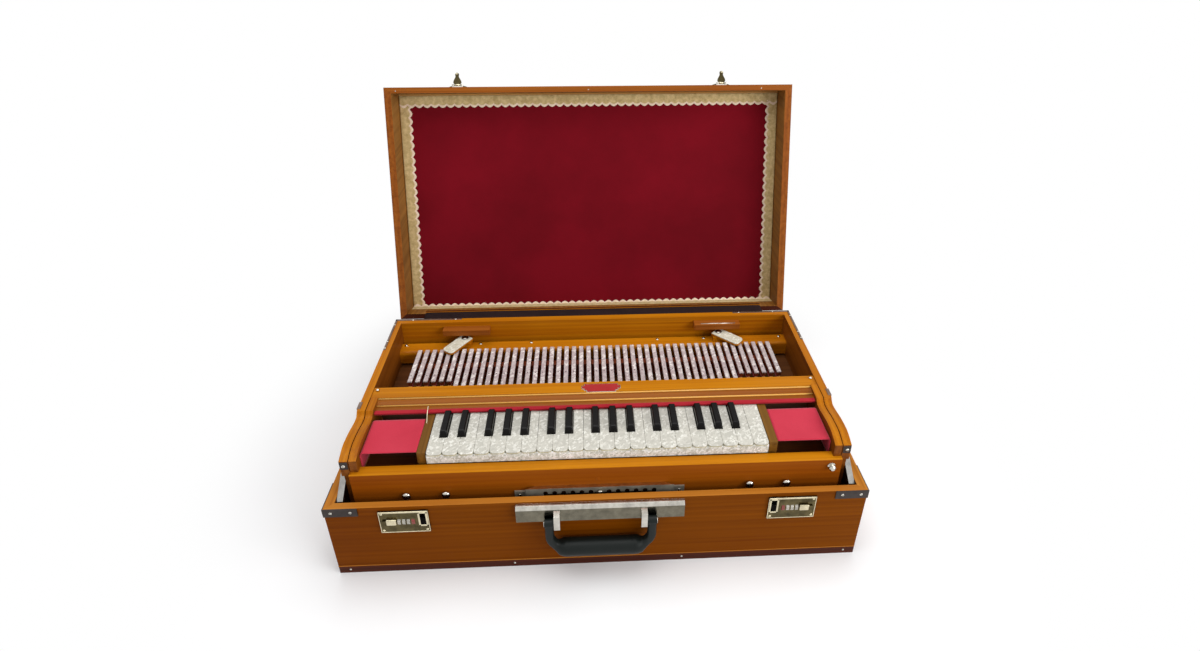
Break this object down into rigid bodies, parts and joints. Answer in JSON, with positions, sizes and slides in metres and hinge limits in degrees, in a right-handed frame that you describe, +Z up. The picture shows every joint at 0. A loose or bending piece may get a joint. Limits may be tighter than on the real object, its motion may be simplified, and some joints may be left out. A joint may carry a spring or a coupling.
{
  "type": "suitcase harmonium",
  "caption": "Portable reed organ in a suitcase: folding arms raise the body, a shifting keyboard sits in front of its reed levers, and hand bellows are at the back.",
  "frame": {"origin": "middle of the case's flat underside", "axes": "+X to the player's right along the case's width, +Y away from the player, +Z up"},
  "size_m": [0.7124, 0.618, 0.5511],
  "materials": {
    "case_wood": "varnished brown wood with straight grain",
    "body_wood": "polished honey-brown wood",
    "pale_wood": "pale varnished wood",
    "lever_wood": "wood faced with pale mottled plastic",
    "handle_plastic": "black-green moulded plastic",
    "lid_velvet": "crimson velvet",
    "red_felt": "pink-red felt",
    "bellows_leather": "dark purple folded card and leather",
    "nickel": "polished nickel plate",
    "steel": "zinc-plated flat steel",
    "pearl": "pearl celluloid",
    "black_gloss": "black gloss"
  },
  "bodies": {
    "case": {"tray_case": "case_wood"},
    "handle": {"carry_handle": "handle_plastic"},
    "lid": {"lid_case": "case_wood", "lid_lining": "lid_velvet"},
    "hasp_left": {"hasp_left": "nickel"},
    "hasp_right": {"hasp_right": "nickel"},
    "arm_front_left": {"arm_front_left": "steel"},
    "arm_front_right": {"arm_front_right": "steel"},
    "arm_rear_left": {"arm_rear_left": "steel"},
    "arm_rear_right": {"arm_rear_right": "steel"},
    "instrument": {"instrument_case": "body_wood", "lever_bank": "lever_wood", "bellows_folds": "bellows_leather"},
    "bellows": {"bellows_board": "pale_wood"},
    "keyboard": {"key_frame": "body_wood", "side_cloth": "red_felt"},
    "scale_lever": {"scale_lever": "nickel"},
    "turn_button_left": {"turn_button_left": "pearl"},
    "turn_button_right": {"turn_button_right": "pearl"},
    "stop_knob_1": {"stop_knob_1": "nickel"},
    "stop_knob_2": {"stop_knob_2": "nickel"},
    "stop_knob_3": {"stop_knob_3": "nickel"},
    "stop_knob_4": {"stop_knob_4": "nickel"},
    "key_white_01": {"key_white_01": "pearl"},
    "key_black_01": {"key_black_01": "black_gloss"},
    "key_white_02": {"key_white_02": "pearl"},
    "key_black_02": {"key_black_02": "black_gloss"},
    "key_white_03": {"key_white_03": "pearl"},
    "key_white_04": {"key_white_04": "pearl"},
    "key_black_03": {"key_black_03": "black_gloss"},
    "key_white_05": {"key_white_05": "pearl"},
    "key_black_04": {"key_black_04": "black_gloss"},
    "key_white_06": {"key_white_06": "pearl"},
    "key_black_05": {"key_black_05": "black_gloss"},
    "key_white_07": {"key_white_07": "pearl"},
    "key_white_08": {"key_white_08": "pearl"},
    "key_black_06": {"key_black_06": "black_gloss"},
    "key_white_09": {"key_white_09": "pearl"},
    "key_black_07": {"key_black_07": "black_gloss"},
    "key_white_10": {"key_white_10": "pearl"},
    "key_white_11": {"key_white_11": "pearl"},
    "key_black_08": {"key_black_08": "black_gloss"},
    "key_white_12": {"key_white_12": "pearl"},
    "key_black_09": {"key_black_09": "black_gloss"},
    "key_white_13": {"key_white_13": "pearl"},
    "key_black_10": {"key_black_10": "black_gloss"},
    "key_white_14": {"key_white_14": "pearl"},
    "key_white_15": {"key_white_15": "pearl"},
    "key_black_11": {"key_black_11": "black_gloss"},
    "key_white_16": {"key_white_16": "pearl"},
    "key_black_12": {"key_black_12": "black_gloss"},
    "key_white_17": {"key_white_17": "pearl"},
    "key_white_18": {"key_white_18": "pearl"},
    "key_black_13": {"key_black_13": "black_gloss"},
    "key_white_19": {"key_white_19": "pearl"},
    "key_black_14": {"key_black_14": "black_gloss"},
    "key_white_20": {"key_white_20": "pearl"},
    "key_black_15": {"key_black_15": "black_gloss"},
    "key_white_21": {"key_white_21": "pearl"},
    "key_white_22": {"key_white_22": "pearl"}
  },
  "joints": [
    {"name": "lift_front_left", "type": "hinge", "parent": "case", "child": "arm_front_left", "pos_m": [-0.3393, -0.1865, 0.116], "axis": [-1, 0, 0], "range_deg": [0, 70]},
    {"name": "lift_front_right", "type": "hinge", "parent": "case", "child": "arm_front_right", "pos_m": [0.3393, -0.1865, 0.116], "axis": [-1, 0, 0], "range_deg": [0, 70]},
    {"name": "lift_rear_left", "type": "hinge", "parent": "case", "child": "arm_rear_left", "pos_m": [-0.3393, 0.06, 0.116], "axis": [-1, 0, 0], "range_deg": [0, 70]},
    {"name": "lift_rear_right", "type": "hinge", "parent": "case", "child": "arm_rear_right", "pos_m": [0.3393, 0.06, 0.116], "axis": [-1, 0, 0], "range_deg": [0, 70]},
    {"name": "instrument_level", "type": "hinge", "parent": "arm_front_left", "child": "instrument", "pos_m": [-0.3393, -0.14939, 0.14198], "axis": [1, 0, 0], "range_deg": [0, 70]},
    {"name": "lid_hinge", "type": "hinge", "parent": "case", "child": "lid", "pos_m": [0, 0.2107, 0.1242], "axis": [1, 0, 0], "range_deg": [0, 106.2]},
    {"name": "hasp_left_hinge", "type": "hinge", "parent": "lid", "child": "hasp_left", "pos_m": [-0.23003, 0.3343, 0.52743], "axis": [1, 0, 0], "range_deg": [-60, 95]},
    {"name": "hasp_right_hinge", "type": "hinge", "parent": "lid", "child": "hasp_right", "pos_m": [0.23003, 0.3343, 0.52743], "axis": [1, 0, 0], "range_deg": [-60, 95]},
    {"name": "handle_swing", "type": "hinge", "parent": "case", "child": "handle", "pos_m": [0, -0.2218, 0.1], "axis": [-1, 0, 0], "range_deg": [0, 110]},
    {"name": "scale_shift", "type": "slide", "parent": "instrument", "child": "keyboard", "axis": [1, 0, 0], "range_m": [-0.072, 0.072], "deforming": ["side_cloth"]},
    {"name": "scale_lever_lift", "type": "slide", "parent": "keyboard", "child": "scale_lever", "axis": [0, 0, -1], "range_m": [0, 0.004], "stiffness_N_per_m": 200, "springref_m": -0.004},
    {"name": "bellows_pump", "type": "hinge", "parent": "instrument", "child": "bellows", "pos_m": [0, 0.1441, 0.06997], "axis": [-1, 0, 0], "range_deg": [0, 18], "deforming": ["bellows_folds"]},
    {"name": "turn_left", "type": "hinge", "parent": "instrument", "child": "turn_button_left", "pos_m": [-0.21738, 0.1, 0.16047], "axis": [0, 0, 1], "range_deg": [-45, 45]},
    {"name": "turn_right", "type": "hinge", "parent": "instrument", "child": "turn_button_right", "pos_m": [0.20898, 0.1, 0.16047], "axis": [0, 0, 1], "range_deg": [-45, 45]},
    {"name": "stop_1_pull", "type": "slide", "parent": "instrument", "child": "stop_knob_1", "axis": [0, -1, 0], "range_m": [0, 0.005]},
    {"name": "stop_2_pull", "type": "slide", "parent": "instrument", "child": "stop_knob_2", "axis": [0, -1, 0], "range_m": [0, 0.005]},
    {"name": "stop_3_pull", "type": "slide", "parent": "instrument", "child": "stop_knob_3", "axis": [0, -1, 0], "range_m": [0, 0.005]},
    {"name": "stop_4_pull", "type": "slide", "parent": "instrument", "child": "stop_knob_4", "axis": [0, -1, 0], "range_m": [0, 0.005]},
    {"name": "key_white_01_press", "type": "hinge", "parent": "keyboard", "child": "key_white_01", "pos_m": [-0.216, -0.06, 0.16381], "axis": [1, 0, 0], "range_deg": [0, 2.6], "stiffness_Nm_per_rad": 0.6, "springref_deg": -5.73},
    {"name": "key_black_01_press", "type": "hinge", "parent": "keyboard", "child": "key_black_01", "pos_m": [-0.20829, -0.06, 0.16381], "axis": [1, 0, 0], "range_deg": [0, 2.6], "stiffness_Nm_per_rad": 0.6, "springref_deg": -5.73},
    {"name": "key_white_02_press", "type": "hinge", "parent": "keyboard", "child": "key_white_02", "pos_m": [-0.19543, -0.06, 0.16381], "axis": [1, 0, 0], "range_deg": [0, 2.6], "stiffness_Nm_per_rad": 0.6, "springref_deg": -5.73},
    {"name": "key_black_02_press", "type": "hinge", "parent": "keyboard", "child": "key_black_02", "pos_m": [-0.18429, -0.06, 0.16381], "axis": [1, 0, 0], "range_deg": [0, 2.6], "stiffness_Nm_per_rad": 0.6, "springref_deg": -5.73},
    {"name": "key_white_03_press", "type": "hinge", "parent": "keyboard", "child": "key_white_03", "pos_m": [-0.17486, -0.06, 0.16381], "axis": [1, 0, 0], "range_deg": [0, 2.6], "stiffness_Nm_per_rad": 0.6, "springref_deg": -5.73},
    {"name": "key_white_04_press", "type": "hinge", "parent": "keyboard", "child": "key_white_04", "pos_m": [-0.15429, -0.06, 0.16381], "axis": [1, 0, 0], "range_deg": [0, 2.6], "stiffness_Nm_per_rad": 0.6, "springref_deg": -5.73},
    {"name": "key_black_03_press", "type": "hinge", "parent": "keyboard", "child": "key_black_03", "pos_m": [-0.14829, -0.06, 0.16381], "axis": [1, 0, 0], "range_deg": [0, 2.6], "stiffness_Nm_per_rad": 0.6, "springref_deg": -5.73},
    {"name": "key_white_05_press", "type": "hinge", "parent": "keyboard", "child": "key_white_05", "pos_m": [-0.13371, -0.06, 0.16381], "axis": [1, 0, 0], "range_deg": [0, 2.6], "stiffness_Nm_per_rad": 0.6, "springref_deg": -5.73},
    {"name": "key_black_04_press", "type": "hinge", "parent": "keyboard", "child": "key_black_04", "pos_m": [-0.12429, -0.06, 0.16381], "axis": [1, 0, 0], "range_deg": [0, 2.6], "stiffness_Nm_per_rad": 0.6, "springref_deg": -5.73},
    {"name": "key_white_06_press", "type": "hinge", "parent": "keyboard", "child": "key_white_06", "pos_m": [-0.11314, -0.06, 0.16381], "axis": [1, 0, 0], "range_deg": [0, 2.6], "stiffness_Nm_per_rad": 0.6, "springref_deg": -5.73},
    {"name": "key_black_05_press", "type": "hinge", "parent": "keyboard", "child": "key_black_05", "pos_m": [-0.10029, -0.06, 0.16381], "axis": [1, 0, 0], "range_deg": [0, 2.6], "stiffness_Nm_per_rad": 0.6, "springref_deg": -5.73},
    {"name": "key_white_07_press", "type": "hinge", "parent": "keyboard", "child": "key_white_07", "pos_m": [-0.09257, -0.06, 0.16381], "axis": [1, 0, 0], "range_deg": [0, 2.6], "stiffness_Nm_per_rad": 0.6, "springref_deg": -5.73},
    {"name": "key_white_08_press", "type": "hinge", "parent": "keyboard", "child": "key_white_08", "pos_m": [-0.072, -0.06, 0.16381], "axis": [1, 0, 0], "range_deg": [0, 2.6], "stiffness_Nm_per_rad": 0.6, "springref_deg": -5.73},
    {"name": "key_black_06_press", "type": "hinge", "parent": "keyboard", "child": "key_black_06", "pos_m": [-0.06429, -0.06, 0.16381], "axis": [1, 0, 0], "range_deg": [0, 2.6], "stiffness_Nm_per_rad": 0.6, "springref_deg": -5.73},
    {"name": "key_white_09_press", "type": "hinge", "parent": "keyboard", "child": "key_white_09", "pos_m": [-0.05143, -0.06, 0.16381], "axis": [1, 0, 0], "range_deg": [0, 2.6], "stiffness_Nm_per_rad": 0.6, "springref_deg": -5.73},
    {"name": "key_black_07_press", "type": "hinge", "parent": "keyboard", "child": "key_black_07", "pos_m": [-0.04029, -0.06, 0.16381], "axis": [1, 0, 0], "range_deg": [0, 2.6], "stiffness_Nm_per_rad": 0.6, "springref_deg": -5.73},
    {"name": "key_white_10_press", "type": "hinge", "parent": "keyboard", "child": "key_white_10", "pos_m": [-0.03086, -0.06, 0.16381], "axis": [1, 0, 0], "range_deg": [0, 2.6], "stiffness_Nm_per_rad": 0.6, "springref_deg": -5.73},
    {"name": "key_white_11_press", "type": "hinge", "parent": "keyboard", "child": "key_white_11", "pos_m": [-0.01029, -0.06, 0.16381], "axis": [1, 0, 0], "range_deg": [0, 2.6], "stiffness_Nm_per_rad": 0.6, "springref_deg": -5.73},
    {"name": "key_black_08_press", "type": "hinge", "parent": "keyboard", "child": "key_black_08", "pos_m": [-0.00429, -0.06, 0.16381], "axis": [1, 0, 0], "range_deg": [0, 2.6], "stiffness_Nm_per_rad": 0.6, "springref_deg": -5.73},
    {"name": "key_white_12_press", "type": "hinge", "parent": "keyboard", "child": "key_white_12", "pos_m": [0.01029, -0.06, 0.16381], "axis": [1, 0, 0], "range_deg": [0, 2.6], "stiffness_Nm_per_rad": 0.6, "springref_deg": -5.73},
    {"name": "key_black_09_press", "type": "hinge", "parent": "keyboard", "child": "key_black_09", "pos_m": [0.01971, -0.06, 0.16381], "axis": [1, 0, 0], "range_deg": [0, 2.6], "stiffness_Nm_per_rad": 0.6, "springref_deg": -5.73},
    {"name": "key_white_13_press", "type": "hinge", "parent": "keyboard", "child": "key_white_13", "pos_m": [0.03086, -0.06, 0.16381], "axis": [1, 0, 0], "range_deg": [0, 2.6], "stiffness_Nm_per_rad": 0.6, "springref_deg": -5.73},
    {"name": "key_black_10_press", "type": "hinge", "parent": "keyboard", "child": "key_black_10", "pos_m": [0.04371, -0.06, 0.16381], "axis": [1, 0, 0], "range_deg": [0, 2.6], "stiffness_Nm_per_rad": 0.6, "springref_deg": -5.73},
    {"name": "key_white_14_press", "type": "hinge", "parent": "keyboard", "child": "key_white_14", "pos_m": [0.05143, -0.06, 0.16381], "axis": [1, 0, 0], "range_deg": [0, 2.6], "stiffness_Nm_per_rad": 0.6, "springref_deg": -5.73},
    {"name": "key_white_15_press", "type": "hinge", "parent": "keyboard", "child": "key_white_15", "pos_m": [0.072, -0.06, 0.16381], "axis": [1, 0, 0], "range_deg": [0, 2.6], "stiffness_Nm_per_rad": 0.6, "springref_deg": -5.73},
    {"name": "key_black_11_press", "type": "hinge", "parent": "keyboard", "child": "key_black_11", "pos_m": [0.07971, -0.06, 0.16381], "axis": [1, 0, 0], "range_deg": [0, 2.6], "stiffness_Nm_per_rad": 0.6, "springref_deg": -5.73},
    {"name": "key_white_16_press", "type": "hinge", "parent": "keyboard", "child": "key_white_16", "pos_m": [0.09257, -0.06, 0.16381], "axis": [1, 0, 0], "range_deg": [0, 2.6], "stiffness_Nm_per_rad": 0.6, "springref_deg": -5.73},
    {"name": "key_black_12_press", "type": "hinge", "parent": "keyboard", "child": "key_black_12", "pos_m": [0.10371, -0.06, 0.16381], "axis": [1, 0, 0], "range_deg": [0, 2.6], "stiffness_Nm_per_rad": 0.6, "springref_deg": -5.73},
    {"name": "key_white_17_press", "type": "hinge", "parent": "keyboard", "child": "key_white_17", "pos_m": [0.11314, -0.06, 0.16381], "axis": [1, 0, 0], "range_deg": [0, 2.6], "stiffness_Nm_per_rad": 0.6, "springref_deg": -5.73},
    {"name": "key_white_18_press", "type": "hinge", "parent": "keyboard", "child": "key_white_18", "pos_m": [0.13371, -0.06, 0.16381], "axis": [1, 0, 0], "range_deg": [0, 2.6], "stiffness_Nm_per_rad": 0.6, "springref_deg": -5.73},
    {"name": "key_black_13_press", "type": "hinge", "parent": "keyboard", "child": "key_black_13", "pos_m": [0.13971, -0.06, 0.16381], "axis": [1, 0, 0], "range_deg": [0, 2.6], "stiffness_Nm_per_rad": 0.6, "springref_deg": -5.73},
    {"name": "key_white_19_press", "type": "hinge", "parent": "keyboard", "child": "key_white_19", "pos_m": [0.15429, -0.06, 0.16381], "axis": [1, 0, 0], "range_deg": [0, 2.6], "stiffness_Nm_per_rad": 0.6, "springref_deg": -5.73},
    {"name": "key_black_14_press", "type": "hinge", "parent": "keyboard", "child": "key_black_14", "pos_m": [0.16371, -0.06, 0.16381], "axis": [1, 0, 0], "range_deg": [0, 2.6], "stiffness_Nm_per_rad": 0.6, "springref_deg": -5.73},
    {"name": "key_white_20_press", "type": "hinge", "parent": "keyboard", "child": "key_white_20", "pos_m": [0.17486, -0.06, 0.16381], "axis": [1, 0, 0], "range_deg": [0, 2.6], "stiffness_Nm_per_rad": 0.6, "springref_deg": -5.73},
    {"name": "key_black_15_press", "type": "hinge", "parent": "keyboard", "child": "key_black_15", "pos_m": [0.18771, -0.06, 0.16381], "axis": [1, 0, 0], "range_deg": [0, 2.6], "stiffness_Nm_per_rad": 0.6, "springref_deg": -5.73},
    {"name": "key_white_21_press", "type": "hinge", "parent": "keyboard", "child": "key_white_21", "pos_m": [0.19543, -0.06, 0.16381], "axis": [1, 0, 0], "range_deg": [0, 2.6], "stiffness_Nm_per_rad": 0.6, "springref_deg": -5.73},
    {"name": "key_white_22_press", "type": "hinge", "parent": "keyboard", "child": "key_white_22", "pos_m": [0.216, -0.06, 0.16381], "axis": [1, 0, 0], "range_deg": [0, 2.6], "stiffness_Nm_per_rad": 0.6, "springref_deg": -5.73}
  ],
  "couplings": [
    {"joint": "lift_front_right", "follows": "lift_front_left", "ratio": 1},
    {"joint": "lift_rear_left", "follows": "lift_front_left", "ratio": 1},
    {"joint": "lift_rear_right", "follows": "lift_front_left", "ratio": 1},
    {"joint": "instrument_level", "follows": "lift_front_left", "ratio": 1},
    {"joint": "lid_hinge", "follows": "lift_front_left", "ratio": 1.5171}
  ]
}
